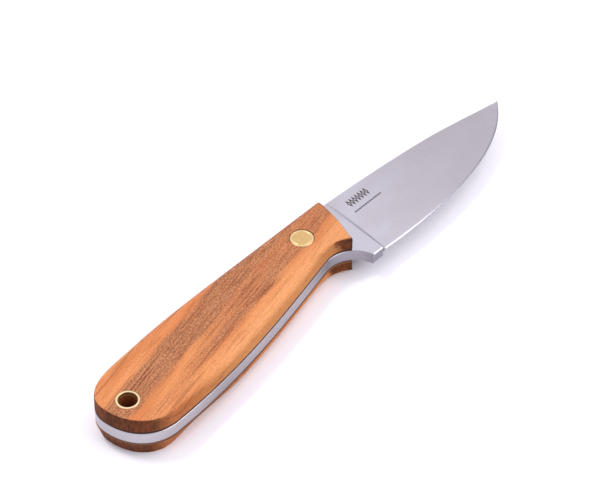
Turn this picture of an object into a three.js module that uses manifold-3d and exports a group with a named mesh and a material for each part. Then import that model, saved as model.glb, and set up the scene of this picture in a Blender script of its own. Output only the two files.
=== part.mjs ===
// Full-tang whittling knife, lying on its left scale.
//
// Profile datum: x runs from the butt end to the tip, y = 0 is the straight spine of the
// handle and the edge side is negative, z = 0 is the middle of the steel.
// The finished group is shifted so that the knife rests on z = 0, centred over the origin.

import * as THREE from 'three';
import { mergeVertices } from 'three/addons/utils/BufferGeometryUtils.js';
import Module from 'manifold-3d';

const wasm = await Module();
wasm.setup();

// ---------------------------------------------------------------- driving dimensions, mm

const { clamp, degToRad, lerp, smoothstep } = THREE.MathUtils;
const at = (x, y) => new THREE.Vector2(x, y);

const LENGTH = 165.3;
const STEEL = 3.5;                  // stock thickness of blade and tang
const LINER = 0.7;                  // dark fibre sheet under each scale
const HANDLE = 13;                  // across both scales

const SPINE_START_X = 50;           // the spine is straight from here to the blade
const SPINE_STEPS = 8;              // stations along the straight of the spine
const BUTT = at(0, -11.9);          // rearmost point
const BUTT_PULL = { spine: 13, upper: -2.8, lower: -20.6, belly: 5.4 };
const BELLY = at(12.3, -25.83);     // lowest point of the handle
const BELLY_PULL = at(40.5, -25.6);
const GROOVE = at(82.25, -24.25);   // centre of the finger groove
const GROOVE_RADIUS = 8.8;
const GROOVE_START = degToRad(101.2);
const GROOVE_PULL = 13;             // how far the belly line runs straight into the groove
const GROOVE_SCALE_END = degToRad(47);
const HEEL_ANGLE = degToRad(8);
const EDGE_Y = -23.05;              // underside of the ricasso

const PLUNGE_EDGE_X = 94.9;         // where the grind starts, at the edge
const PLUNGE_SPINE_X = 97.5;        // and at the spine
const PLUNGE_RADIUS = 1.6;
const PLUNGE_LIP = 0.25;            // upright part of the step down into the grind
const EDGE_STEP = 0.3;              // the edge sits this much above the ricasso
const EDGE_PULLS = [at(117.3, -24.3), at(149.6, -23.3)];
const SPINE_PULL = at(131.3, -1.4);
const TIP = at(LENGTH, -7);
const TIP_WIDTH = 0.05;
const EDGE_BEVEL = 0.38;            // width of the honed bevel
const EDGE_SHOULDER = 0.4;          // blade thickness where the honed bevel starts
const EDGE_FLAT = 0.06;             // width left on the edge itself
const TIP_THICKNESS = 0.9;          // thickness of the spine where it meets the tip
const TAPER_START = 0.55;           // fraction of the blade after which the spine thins
const RICASSO = { from: 90.5, chamfer: 0.35 };      // chamfer on the underside, up to the grind

const SCALE_FRONT_X = 93.5;         // front corner of the scales, at the spine
const FRONT_FOOT = at(88.5, -16.5);                 // front corner beside the finger groove
const FRONT_FOOT_PULL = at(88.7, -18.1);
const FRONT_PULL = at(91.9, -9.7);
const LEAN_FADE = [12, 40];
const RIM = { crisp: 0.4, spine: 3.1, belly: 5.2 };   // widths of the rounded rim
const RIM_HEIGHT = 3.7;             // tallest rounding, leaving a low upright wall
const SPINE_GROW = [2, 22];         // the rim widens from the butt along these lengths
const BELLY_GROW = [5, 30];
const RIM_SHRINK = [70, 86];        // and the belly's narrows again towards the groove
const RIM_SIDES_Y = -10;            // spine side above, belly side below
// Lean of the walls at the butt and rim width in the finger groove, which differ by side.
const RIGHT = { lean: 0.1, groove: 0.8 };
const LEFT = { lean: 1.15, groove: 2 };

const TUBE = { x: 6.5, y: -14.4, radius: 3.1, bore: 2.55 };
const BOLT = { x: 79.2, y: -7.7, head: 3.3, barrel: 2.5, stud: 1.5 };
const BOLT_SEAT = 1.0;              // wood left under each bolt head
const STUD_END = 3.4;               // depth of the stud below mid plane
const STUD_GAP = 0.6;               // clearance beyond the end of the stud
const BARREL_GAP = 0.4;             // the barrel stops short of the other head
const FIT = 0.06;                   // radial clearance of brass in wood and steel
const HEAD_FIT = 0.12;              // and of the bolt heads in their counterbores
const THREAD_FIT = 0.15;            // stands for the thread between stud and barrel
const BRASS_EASE = 0.2;             // chamfer on exposed brass rims
const ROUND_SIDES = 48;
const CURVE_STEPS = 20;             // straight pieces in each curve of an outline

const TANG_TOP = STEEL / 2;
const SCALE_BASE = TANG_TOP + LINER;
const FACE = HANDLE / 2;
const SEAT = SCALE_BASE + BOLT_SEAT;

// ---------------------------------------------------------------- solids

function toManifold(geometry) {
  const bare = geometry.clone();
  bare.deleteAttribute('normal');
  bare.deleteAttribute('uv');
  const merged = mergeVertices(bare, 1e-4);
  return new wasm.Manifold(new wasm.Mesh({
    numProp: 3,
    vertProperties: new Float32Array(merged.attributes.position.array),
    triVerts: new Uint32Array(merged.index.array),
  }));
}

function toGeometry(solid) {
  const mesh = solid.getMesh();
  const geometry = new THREE.BufferGeometry();
  geometry.setAttribute('position', new THREE.BufferAttribute(mesh.vertProperties, 3));
  geometry.setIndex(new THREE.BufferAttribute(mesh.triVerts, 1));
  geometry.computeVertexNormals();
  return geometry;
}

function slab(outline, bottom, top) {
  const geometry = new THREE.ExtrudeGeometry(outline, {
    depth: top - bottom,
    bevelEnabled: false,
    curveSegments: CURVE_STEPS,
  });
  return toManifold(geometry.translate(0, 0, bottom));
}

// Turned piece on a vertical axis, from (radius, height) pairs.
function turned(profile, axis) {
  const points = profile.map(([radius, height]) => at(radius, height));
  const geometry = new THREE.LatheGeometry(points, ROUND_SIDES).rotateX(Math.PI / 2);
  return toManifold(geometry.translate(axis.x, axis.y, 0));
}

function drill(radius, bottom, top, axis) {
  return turned([[0, bottom], [radius, bottom], [radius, top], [0, top]], axis);
}

function mirrored(solid) {
  const geometry = toGeometry(solid).scale(1, 1, -1);
  const index = geometry.index.array;
  for (let i = 0; i < index.length; i += 3) {
    [index[i], index[i + 1]] = [index[i + 1], index[i]];
  }
  return toManifold(geometry);
}

// ---------------------------------------------------------------- outlines

function onGroove(angle) {
  return at(Math.cos(angle), Math.sin(angle)).multiplyScalar(GROOVE_RADIUS).add(GROOVE);
}

// The handle, drawn from the given place on the spine round the butt and along the belly.
function drawHandle(shape, fromX) {
  for (let step = 1; step <= SPINE_STEPS; step += 1) {
    shape.lineTo(lerp(fromX, SPINE_START_X, step / SPINE_STEPS), 0);
  }
  shape.bezierCurveTo(BUTT_PULL.spine, 0, BUTT.x, BUTT_PULL.upper, BUTT.x, BUTT.y);
  shape.bezierCurveTo(BUTT.x, BUTT_PULL.lower, BUTT_PULL.belly, BELLY.y, BELLY.x, BELLY.y);
  const join = onGroove(GROOVE_START);
  const pull = at(-Math.sin(GROOVE_START), Math.cos(GROOVE_START));
  pull.multiplyScalar(GROOVE_PULL).add(join);
  shape.bezierCurveTo(BELLY_PULL.x, BELLY_PULL.y, pull.x, pull.y, join.x, join.y);
}

function tangOutline() {
  const shape = new THREE.Shape();
  shape.moveTo(PLUNGE_SPINE_X + PLUNGE_LIP, 0);
  drawHandle(shape, SCALE_FRONT_X);
  shape.absarc(GROOVE.x, GROOVE.y, GROOVE_RADIUS, GROOVE_START, HEEL_ANGLE, true);
  shape.lineTo(PLUNGE_EDGE_X + PLUNGE_LIP, EDGE_Y);
  return shape;
}

// Front edge of the scales, from the end of the finger groove up to the spine.
function drawFront(shape) {
  shape.quadraticCurveTo(FRONT_FOOT_PULL.x, FRONT_FOOT_PULL.y, FRONT_FOOT.x, FRONT_FOOT.y);
  shape.quadraticCurveTo(FRONT_PULL.x, FRONT_PULL.y, SCALE_FRONT_X, 0);
}

function linerOutline() {
  const shape = new THREE.Shape();
  shape.moveTo(SCALE_FRONT_X, 0);
  drawHandle(shape, SCALE_FRONT_X);
  shape.absarc(GROOVE.x, GROOVE.y, GROOVE_RADIUS, GROOVE_START, GROOVE_SCALE_END, true);
  drawFront(shape);
  return shape;
}

// ---------------------------------------------------------------- blade and tang

function spineHalfThickness(along) {
  return lerp(STEEL, TIP_THICKNESS, smoothstep(along, TAPER_START, 1)) / 2;
}

// Half thickness of the ground part, from the edge (0) to the spine (1) of a station.
function groundHalf(along, across, bevel) {
  if (across === 0) {
    return EDGE_FLAT / 2;
  }
  const back = spineHalfThickness(along);
  const shoulder = Math.min(EDGE_SHOULDER / 2, back);
  return lerp(shoulder, back, (across - bevel) / (1 - bevel));
}

// A box stretched over the blade: its length follows the edge and the spine, its width
// crosses the ground flats, and its two faces stand apart by the blade's thickness.
// The first steps climb the plunge radius, and the very first is buried in the ricasso.
function groundBlade() {
  const lengthSteps = 44;
  const widthLevels = 4;
  const plungeSteps = 6;
  const buried = 0.1;
  const plungeSpan = PLUNGE_RADIUS / (LENGTH - PLUNGE_EDGE_X);
  const box = new THREE.BoxGeometry(lengthSteps, widthLevels, 2, lengthSteps, widthLevels, 1);
  box.translate(lengthSteps / 2, widthLevels / 2, 0);
  const edge = new THREE.CubicBezierCurve(at(PLUNGE_EDGE_X, EDGE_Y + EDGE_STEP), ...EDGE_PULLS, TIP);
  const spineEnd = at(TIP.x, TIP.y + TIP_WIDTH);
  const spine = new THREE.QuadraticBezierCurve(at(PLUNGE_SPINE_X, 0), SPINE_PULL, spineEnd);
  const position = box.attributes.position;
  for (let i = 0; i < position.count; i += 1) {
    const step = Math.round(position.getX(i));
    const level = Math.round(position.getY(i));
    const side = Math.sign(position.getZ(i));
    const past = Math.max(step - plungeSteps, 0) / (lengthSteps - plungeSteps);
    const along = lerp(plungeSpan * Math.min(step / plungeSteps, 1), 1, past);
    const climb = 1 - Math.min(along / plungeSpan, 1);
    const rise = 1 - Math.sqrt(1 - climb * climb);
    const low = edge.getPoint(along).sub(at(0, EDGE_STEP * rise));
    const high = spine.getPoint(along);
    const width = Math.max(low.distanceTo(high), 2 * EDGE_BEVEL);
    const bevel = EDGE_BEVEL / width;
    const across = level === 0 ? 0 : lerp(bevel, 1, (level - 1) / (widthLevels - 1));
    const inset = step === 0 ? buried : 0;
    const half = lerp(groundHalf(along, across, bevel), TANG_TOP, rise) - inset;
    const point = low.clone().lerp(high, lerp(inset / width, 1 - inset / width, across));
    position.setXYZ(i, point.x, point.y, side * half);
  }
  return toManifold(box);
}

// Square bar turned on edge along one lower corner of the ricasso.
function chamferBar(side) {
  const bar = RICASSO.chamfer * Math.SQRT2;
  const cutter = new THREE.BoxGeometry(PLUNGE_EDGE_X - RICASSO.from, bar, bar);
  cutter.rotateX(Math.PI / 4);
  cutter.translate((PLUNGE_EDGE_X + RICASSO.from) / 2, EDGE_Y, side * TANG_TOP);
  return toManifold(cutter);
}

function bladeAndTang() {
  return slab(tangOutline(), -TANG_TOP, TANG_TOP)
    .add(groundBlade())
    .subtract(chamferBar(1))
    .subtract(chamferBar(-1))
    .subtract(drill(TUBE.radius + FIT, -STEEL, STEEL, TUBE))
    .subtract(drill(BOLT.barrel + FIT, -STEEL, STEEL, BOLT));
}

// ---------------------------------------------------------------- handle

// Inward normal of a closed outline at each of its points.
function inwardNormals(points) {
  const turn = Math.sign(THREE.ShapeUtils.area(points));
  return points.map((point, i) => {
    const before = points[(i + points.length - 1) % points.length];
    const after = points[(i + 1) % points.length];
    const along = after.clone().sub(before).normalize();
    return at(-along.y, along.x).multiplyScalar(turn);
  });
}

function nearestIndex(points, spot) {
  const distances = points.map((point) => point.distanceTo(spot));
  return distances.indexOf(Math.min(...distances));
}

// Width of the rounded rim at a place on the outline.
function rimWidth(x, y, groove) {
  if (y > RIM_SIDES_Y) {
    return lerp(RIM.crisp, RIM.spine, smoothstep(x, ...SPINE_GROW));
  }
  const belly = lerp(RIM.crisp, RIM.belly, smoothstep(x, ...BELLY_GROW));
  return lerp(belly, groove, smoothstep(x, ...RIM_SHRINK));
}

// Inset and height of the scale's side, from its base (0) to its flat face (1).
function sideProfile(x, y, rise, hand) {
  const wallShare = 0.2;
  const width = rimWidth(x, y, hand.groove);
  const height = Math.min(width, RIM_HEIGHT);
  const lean = hand.lean * (1 - smoothstep(x, ...LEAN_FADE));
  const up = Math.min(rise / wallShare, 1);
  const angle = clamp((rise - wallShare) / (1 - wallShare), 0, 1) * Math.PI / 2;
  return {
    inset: lean * up + width * (1 - Math.cos(angle)),
    height: lerp(SCALE_BASE, FACE - height, up) + height * Math.sin(angle),
  };
}

// The rounded blank of a scale, running on past its front edge.
function scaleBlank(hand) {
  const layers = 7;
  const frontX = 100;
  const frontAngle = degToRad(40);
  const outline = new THREE.Shape();
  outline.moveTo(frontX, 0);
  drawHandle(outline, frontX);
  outline.absarc(GROOVE.x, GROOVE.y, GROOVE_RADIUS, GROOVE_START, frontAngle, true);
  outline.lineTo(frontX, onGroove(frontAngle).y);
  const rim = outline.extractPoints(CURVE_STEPS).shape;
  const normals = inwardNormals(rim);
  const geometry = new THREE.ExtrudeGeometry(outline, {
    depth: 1,
    steps: layers,
    bevelEnabled: false,
    curveSegments: CURVE_STEPS,
  });
  const position = geometry.attributes.position;
  for (let i = 0; i < position.count; i += 1) {
    const x = position.getX(i);
    const y = position.getY(i);
    const normal = normals[nearestIndex(rim, at(x, y))];
    const { inset, height } = sideProfile(x, y, position.getZ(i), hand);
    position.setXYZ(i, x + normal.x * inset, y + normal.y * inset, height);
  }
  return toManifold(geometry);
}

// Everything ahead of the scales' front edge.
function frontCutter() {
  const margin = 10;
  const start = onGroove(GROOVE_SCALE_END);
  const outline = new THREE.Shape();
  outline.moveTo(start.x, start.y - margin);
  outline.lineTo(start.x, start.y);
  drawFront(outline);
  outline.lineTo(SCALE_FRONT_X, margin);
  outline.lineTo(SCALE_FRONT_X + margin, margin);
  outline.lineTo(SCALE_FRONT_X + margin, start.y - margin);
  return slab(outline, 0, HANDLE);
}

// A scale as it sits on the right side; the left one is turned over.
function scale(hand) {
  return scaleBlank(hand)
    .subtract(frontCutter())
    .subtract(drill(TUBE.radius + FIT, 0, HANDLE, TUBE))
    .subtract(drill(BOLT.barrel + FIT, 0, HANDLE, BOLT))
    .subtract(drill(BOLT.head + HEAD_FIT, SEAT, HANDLE, BOLT));
}

function rightLiner() {
  return slab(linerOutline(), TANG_TOP, SCALE_BASE)
    .subtract(drill(TUBE.radius + FIT, 0, HANDLE, TUBE))
    .subtract(drill(BOLT.barrel + FIT, 0, HANDLE, BOLT));
}

// ---------------------------------------------------------------- brass

function lanyardTube() {
  const { radius, bore } = TUBE;
  return turned([
    [bore + BRASS_EASE, -FACE],
    [radius, -FACE],
    [radius, FACE],
    [bore + BRASS_EASE, FACE],
    [bore, FACE - BRASS_EASE],
    [bore, -FACE + BRASS_EASE],
    [bore + BRASS_EASE, -FACE],
  ], TUBE);
}

// Screw half, with its head in the right scale.
function scaleBolt() {
  return turned([
    [0, -STUD_END],
    [BOLT.stud, -STUD_END],
    [BOLT.stud, SEAT],
    [BOLT.head, SEAT],
    [BOLT.head, FACE - BRASS_EASE],
    [BOLT.head - BRASS_EASE, FACE],
    [0, FACE],
  ], BOLT);
}

// Barrel half, with its head in the left scale and a blind bore for the stud.
function scaleBoltNut() {
  const bore = BOLT.stud + THREAD_FIT;
  const boreFloor = -STUD_END - STUD_GAP;
  const barrelTop = SEAT - BARREL_GAP;
  return turned([
    [0, -FACE],
    [BOLT.head - BRASS_EASE, -FACE],
    [BOLT.head, -FACE + BRASS_EASE],
    [BOLT.head, -SEAT],
    [BOLT.barrel, -SEAT],
    [BOLT.barrel, barrelTop],
    [bore, barrelTop],
    [bore, boreFloor],
    [0, boreFloor],
  ], BOLT);
}

// ---------------------------------------------------------------- assembly

function steel() {
  return new THREE.MeshStandardMaterial({ color: 0xcbc6cf, metalness: 1, roughness: 0.38 });
}

function oiledWood() {
  return new THREE.MeshStandardMaterial({ color: 0xbf8357, metalness: 0, roughness: 0.45 });
}

function darkFibre() {
  return new THREE.MeshStandardMaterial({ color: 0x2b1f1b, metalness: 0, roughness: 0.8 });
}

function brass() {
  return new THREE.MeshStandardMaterial({ color: 0xdcbc80, metalness: 1, roughness: 0.3 });
}

function piece(name, solid, material) {
  const mesh = new THREE.Mesh(toGeometry(solid), material);
  mesh.name = name;
  return mesh;
}

const knife = new THREE.Group();
knife.name = 'whittling_knife';
const liner = rightLiner();
knife.add(
  piece('blade_and_tang', bladeAndTang(), steel()),
  piece('right_liner', liner, darkFibre()),
  piece('left_liner', mirrored(liner), darkFibre()),
  piece('right_scale', scale(RIGHT), oiledWood()),
  piece('left_scale', mirrored(scale(LEFT)), oiledWood()),
  piece('scale_bolt', scaleBolt(), brass()),
  piece('scale_bolt_nut', scaleBoltNut(), brass()),
  piece('lanyard_tube', lanyardTube(), brass()),
);

const bounds = new THREE.Box3().setFromObject(knife);
const middle = bounds.getCenter(new THREE.Vector3());
knife.position.set(-middle.x, -middle.y, -bounds.min.z);

export default knife;
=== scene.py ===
import math

import bmesh
import bpy
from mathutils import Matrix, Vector, geometry


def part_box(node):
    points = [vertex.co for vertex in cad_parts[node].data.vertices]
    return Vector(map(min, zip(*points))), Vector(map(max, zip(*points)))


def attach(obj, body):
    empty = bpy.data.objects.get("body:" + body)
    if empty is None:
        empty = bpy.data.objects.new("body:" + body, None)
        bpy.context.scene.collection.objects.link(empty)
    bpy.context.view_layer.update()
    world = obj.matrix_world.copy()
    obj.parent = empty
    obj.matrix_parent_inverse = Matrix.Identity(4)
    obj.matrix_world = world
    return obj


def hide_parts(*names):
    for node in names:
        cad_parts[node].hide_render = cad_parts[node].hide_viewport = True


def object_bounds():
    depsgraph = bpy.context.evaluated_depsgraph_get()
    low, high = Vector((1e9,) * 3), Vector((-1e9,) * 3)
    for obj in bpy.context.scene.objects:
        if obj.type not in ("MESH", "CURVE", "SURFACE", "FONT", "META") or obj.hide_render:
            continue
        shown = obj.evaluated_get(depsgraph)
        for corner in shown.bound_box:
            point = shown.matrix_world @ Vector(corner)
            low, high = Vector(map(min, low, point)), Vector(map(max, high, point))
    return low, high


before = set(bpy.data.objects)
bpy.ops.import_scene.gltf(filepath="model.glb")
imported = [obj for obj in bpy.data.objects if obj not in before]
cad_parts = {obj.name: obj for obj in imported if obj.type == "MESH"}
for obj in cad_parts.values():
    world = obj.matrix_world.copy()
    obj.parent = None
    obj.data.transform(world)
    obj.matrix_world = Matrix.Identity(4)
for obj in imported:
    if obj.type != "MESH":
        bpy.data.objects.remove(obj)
CAD_BOX = [list(corner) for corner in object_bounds()]

# ------------ sizes, in millimetres
# Profile datum: x from the butt end to the tip, y = 0 on the straight spine with the edge
# side negative, z = 0 in the middle of the steel. ORIGIN is that datum in the row frame.

MM = 0.001
LOW, HIGH = (Vector(corner) for corner in CAD_BOX)
ORIGIN = Vector((LOW.x, HIGH.y, (LOW.z + HIGH.z) / 2))
LENGTH = (HIGH.x - LOW.x) / MM
FACE = (HIGH.z - LOW.z) / 2 / MM        # outer face of a scale, from mid plane
TANG_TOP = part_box("blade_and_tang")[1].z / MM - ORIGIN.z / MM
SCALE_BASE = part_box("right_scale")[0].z / MM - ORIGIN.z / MM

# Handle outline. A pull is a control point of a Bezier curve between the named points.
SPINE_START_X = 50                      # the spine is straight from here to the blade
BUTT_SPINE_PULLS = [(13, 0), (0, -2.8)]
BUTT_Y = -11.9                          # height of the rearmost point
BELLY = (12.3, -25.83)                  # lowest point of the handle
BUTT_BELLY_PULLS = [(0, -20.6), (5.4, BELLY[1])]
BELLY_PULL = (40.5, -25.6)
GROOVE = (82.25, -24.25)                # centre of the finger groove
GROOVE_RADIUS = 8.8
GROOVE_START = math.radians(101.2)      # directions from its centre: where the belly ends,
GROOVE_SCALE_END = math.radians(47)     # where the scales end,
HEEL_ANGLE = math.radians(8)            # and where the underside of the ricasso starts
GROOVE_PULL = 13                        # how far back the belly line aims at the groove
FRONT_FOOT_PULL = (88.7, -18.1)
FRONT_FOOT = (88.5, -16.5)              # front corner beside the finger groove
FRONT_PULL = (91.9, -9.7)
FRONT_X = 93.5                          # front corner of the scales, at the spine

# Blade and tang.
EDGE_Y = -23.05                         # underside of the ricasso
PLUNGE_EDGE_X = 94.9
PLUNGE_SPINE_X = 97.5
PLUNGE_RADIUS = 1.6
TIP = (LENGTH, -7.0)
TIP_WIDTH = 0.05
EDGE_STEP = 0.3                         # the edge sits this much above the ricasso
EDGE_PULLS = [(117.3, -24.3), (149.6, -23.3)]
SPINE_PULL = (131.3, -1.4)
EDGE_BEVEL = 0.38                       # height of the honed bevel
EDGE_SHOULDER = 0.2                     # half thickness at the top of the honed bevel
EDGE_FLAT = 0.03                        # half width left on the edge
TIP_HALF = 0.45                         # half thickness of the spine at the tip
TAPER_START = 0.55                      # share of the blade after which the spine thins
LEAST_WIDTH = 0.02
# At the tip a bevel, an ease or a shoulder takes at most these shares of what is left.
BEVEL_SHARE, EASE_SHARE, SHOULDER_SHARE = 0.45, 0.1, 0.9
TANG_EASE = 0.16                        # small chamfer all round the tang
RICASSO_CHAMFER = 0.35

# Scales. A pair of x values is where a change starts and where it is complete.
LEAN_FADE = (12, 40)
RIM_CRISP = 0.4                         # widths of the rounded rim: at the butt,
RIM_SPINE = 3.1                         # along the spine,
RIM_BELLY = 5.2                         # and along the belly
RIM_HEIGHT = 3.7                        # tallest rounding
SPINE_GROW = (2, 22)                    # the rim widens from the butt along these lengths
BELLY_GROW = (5, 30)
RIM_SHRINK = (70, 86)
RIM_SIDES_Y = -10                       # spine side above, belly side below
# Lean of the walls at the butt and rim width in the finger groove, which differ by side.
HANDS = {1: dict(lean=0.1, groove=0.8), -1: dict(lean=1.15, groove=2.0)}
FRONT_EASE = 0.4                        # radius on the front edge of a scale's face
NOSE_EASE = 1.7                         # and on its corner beside the finger groove
NOSE_SHARE = 0.3                        # share of the edge over which one becomes the other

# Brass.
TUBE = dict(x=6.5, y=-14.4, radius=3.1, bore=2.55)
BOLT = dict(x=79.2, y=-7.7, head=3.3, barrel=2.5, stud=1.5)
WOOD_UNDER_HEAD = 1.0
SEAT = SCALE_BASE + WOOD_UNDER_HEAD
FIT = 0.06                              # gap on the radius round the tube and the barrel
HEAD_FIT = 0.12                         # and round a bolt head
# Round holes through the steel and the liners.
DRILLS = [(TUBE, TUBE["radius"] + FIT), (BOLT, BOLT["barrel"] + FIT)]

# Fineness.
ROUND_SIDES = 96
CURVE_STEPS = 60
CORNER_STEPS = 24
POINT_SPACING = 0.45                    # between points of a resampled outline
SHARPEST_CORNER = 0.4                   # cosine at which offset normals stop lengthening


def smoothstep(x, start, end):
    t = min(max((x - start) / (end - start), 0), 1)
    return t * t * (3 - 2 * t)


def lerp(a, b, t):
    return a + (b - a) * t


def lerp2(a, b, t):
    return (lerp(a[0], b[0], t), lerp(a[1], b[1], t))


# ------------ outlines

def bezier(controls, t):
    points = list(controls)
    while len(points) > 1:
        points = [lerp2(a, b, t) for a, b in zip(points, points[1:])]
    return points[0]


def bezier_points(controls, count=CURVE_STEPS):
    return [bezier(controls, i / count) for i in range(count + 1)]


def resample(points, spacing=POINT_SPACING):
    """Evenly spaced points along a polyline, both ends kept."""
    lengths = [0]
    for a, b in zip(points, points[1:]):
        lengths.append(lengths[-1] + math.dist(a, b))
    count = max(1, round(lengths[-1] / spacing))
    result = []
    i = 0
    for step in range(count + 1):
        target = lengths[-1] * step / count
        while i < len(points) - 2 and lengths[i + 1] < target:
            i += 1
        gap = lengths[i + 1] - lengths[i]
        result.append(lerp2(points[i], points[i + 1], (target - lengths[i]) / gap if gap else 0))
    return result


def upper_back():
    """From the straight spine down to the rearmost point of the butt."""
    return bezier_points([(SPINE_START_X, 0), *BUTT_SPINE_PULLS, (0, BUTT_Y)])


def on_groove(angle, radius=GROOVE_RADIUS):
    return (GROOVE[0] + radius * math.cos(angle), GROOVE[1] + radius * math.sin(angle))


def belly_line():
    """From the rearmost point along the belly to the start of the finger groove."""
    join = on_groove(GROOVE_START)
    pull = (
        join[0] - GROOVE_PULL * math.sin(GROOVE_START),
        join[1] + GROOVE_PULL * math.cos(GROOVE_START),
    )
    corner = bezier_points([(0, BUTT_Y), *BUTT_BELLY_PULLS, BELLY])
    return corner + bezier_points([BELLY, BELLY_PULL, pull, join])[1:]


def front_line():
    """Front edge of the scales, from the finger groove up to the spine."""
    start = on_groove(GROOVE_SCALE_END)
    corner = bezier_points([start, FRONT_FOOT_PULL, FRONT_FOOT], CORNER_STEPS)
    return corner + bezier_points([FRONT_FOOT, FRONT_PULL, (FRONT_X, 0)])[1:]


def inward_normals(points):
    """Unit inward normals of an anticlockwise loop, lengthened at corners to keep offsets parallel."""
    normals = []
    for i, point in enumerate(points):
        before, after = points[i - 1], points[(i + 1) % len(points)]
        a = Vector((point[0] - before[0], point[1] - before[1])).normalized()
        b = Vector((after[0] - point[0], after[1] - point[1])).normalized()
        middle = (a + b).normalized()
        stretch = 1 / max(middle.dot(a), SHARPEST_CORNER)
        normals.append((-middle.y * stretch, middle.x * stretch))
    return normals


# ------------ mesh helpers

MERGE_DISTANCE = 1e-7                   # metres
FILL_TOLERANCE = 1e-6                   # millimetres
INSIDE_SHARE = 0.999                    # of a hole's radius: triangles centred nearer go
SHARP_DEGREES = 28                      # edges that turn more than this stay crisp


def place(x, y, z):
    return ORIGIN + Vector((x, y, z)) * MM


class Builder:
    """Collects vertices and faces in the profile datum and turns them into a placed object."""

    def __init__(self):
        self.bm = bmesh.new()

    def ring(self, points):
        return [self.bm.verts.new(place(*p)) for p in points]

    def face(self, *verts):
        unique = []
        for v in verts:
            if v not in unique:
                unique.append(v)
        if len(unique) > 2:
            self.bm.faces.new(unique)

    def bridge(self, first, second, closed=True):
        count = len(first)
        for i in range(count if closed else count - 1):
            j = (i + 1) % count
            self.face(first[i], first[j], second[j], second[i])

    def fill(self, outer, holes, up):
        """Triangulates the flat area inside a ring and outside circular hole rings."""
        verts = list(outer)
        loops = [list(range(len(outer)))]
        for hole in holes:
            loops.append(list(range(len(verts), len(verts) + len(hole))))
            verts += hole
        flat = [Vector((v.co.x / MM, v.co.y / MM)) for v in verts]
        edges = [(loop[i - 1], loop[i]) for loop in loops for i in range(len(loop))]
        triangles = geometry.delaunay_2d_cdt(flat, edges, [], 1, FILL_TOLERANCE)[2]
        centres = []
        for loop in loops[1:]:
            middle = sum((flat[i] for i in loop), Vector((0, 0))) / len(loop)
            centres.append((middle, (flat[loop[0]] - middle).length))
        for triangle in triangles:
            centroid = sum((flat[i] for i in triangle), Vector((0, 0))) / 3
            if any((centroid - middle).length < radius * INSIDE_SHARE for middle, radius in centres):
                continue
            order = triangle if up else reversed(triangle)
            self.face(*[verts[i] for i in order])

    def finish(self, name, material, node, sharp_degrees=SHARP_DEGREES):
        bmesh.ops.remove_doubles(self.bm, verts=self.bm.verts, dist=MERGE_DISTANCE)
        bmesh.ops.recalc_face_normals(self.bm, faces=self.bm.faces)
        mesh = bpy.data.meshes.new(name)
        self.bm.to_mesh(mesh)
        self.bm.free()
        mesh.shade_smooth()
        mesh.set_sharp_from_angle(angle=math.radians(sharp_degrees))
        mesh.materials.append(material)
        piece = bpy.data.objects.new(name, mesh)
        bpy.context.scene.collection.objects.link(piece)
        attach(piece, "root")
        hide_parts(node)
        return piece


def circle(at, radius, z):
    angles = [2 * math.pi * i / ROUND_SIDES for i in range(ROUND_SIDES)]
    return [(at["x"] + radius * math.cos(a), at["y"] + radius * math.sin(a), z) for a in angles]


def turned(builder, at, profile, closed=False):
    """Rings of a turned piece from (radius, height) pairs; radius 0 closes on the axis."""
    rings = []
    for radius, height in profile:
        if radius == 0:
            rings.append(builder.ring([(at["x"], at["y"], height)]) * ROUND_SIDES)
        else:
            rings.append(builder.ring(circle(at, radius, height)))
    if closed:
        rings.append(rings[0])
    for first, second in zip(rings, rings[1:]):
        builder.bridge(first, second)


# ------------ node trees

# What remap works with is kept as a tuple: from, to, the amount at from, the amount at to.
# Without the last two, the amounts are 0 and 1.

MIX_FACTOR, MIX_A, MIX_B, MIX_RESULT = 0, 6, 7, 2     # colour sockets of the Mix node
NOISE_MIDDLE = 0.5


def srgb(r, g, b):
    """Linear colour of an 8-bit display colour."""
    values = [c / 255 for c in (r, g, b)]
    return tuple(c / 12.92 if c <= 0.04045 else ((c + 0.055) / 1.055) ** 2.4 for c in values)


class Value:
    """What a node gives. Sums, products and so on of values are worked out by Math nodes."""

    def __init__(self, tree, socket):
        self.tree = tree
        self.socket = socket

    def __add__(self, other):
        return self.tree.math("ADD", self, other)

    def __radd__(self, other):
        return self.tree.math("ADD", other, self)

    def __sub__(self, other):
        return self.tree.math("SUBTRACT", self, other)

    def __rsub__(self, other):
        return self.tree.math("SUBTRACT", other, self)

    def __mul__(self, other):
        return self.tree.math("MULTIPLY", self, other)

    def __mod__(self, other):
        return self.tree.math("FLOORED_MODULO", self, other)

    def __abs__(self):
        return self.tree.math("ABSOLUTE", self)

    def above(self, limit):
        """1 above a limit, 0 below it."""
        return self.tree.math("GREATER_THAN", self, limit)

    def between(self, low, high):
        """1 between two limits, 0 outside them."""
        return self.above(low) * self.tree.math("LESS_THAN", self, high)

    def remap(self, low, high, new_low=0.0, new_high=1.0, smooth=True):
        """Goes from new_low to new_high as the value goes from low to high."""
        node = self.tree.nodes.new("ShaderNodeMapRange")
        node.interpolation_type = "SMOOTHSTEP" if smooth else "LINEAR"
        for socket, entry in zip(node.inputs, (self, low, high, new_low, new_high)):
            self.tree.put(socket, entry)
        return Value(self.tree, node.outputs[0])


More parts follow.
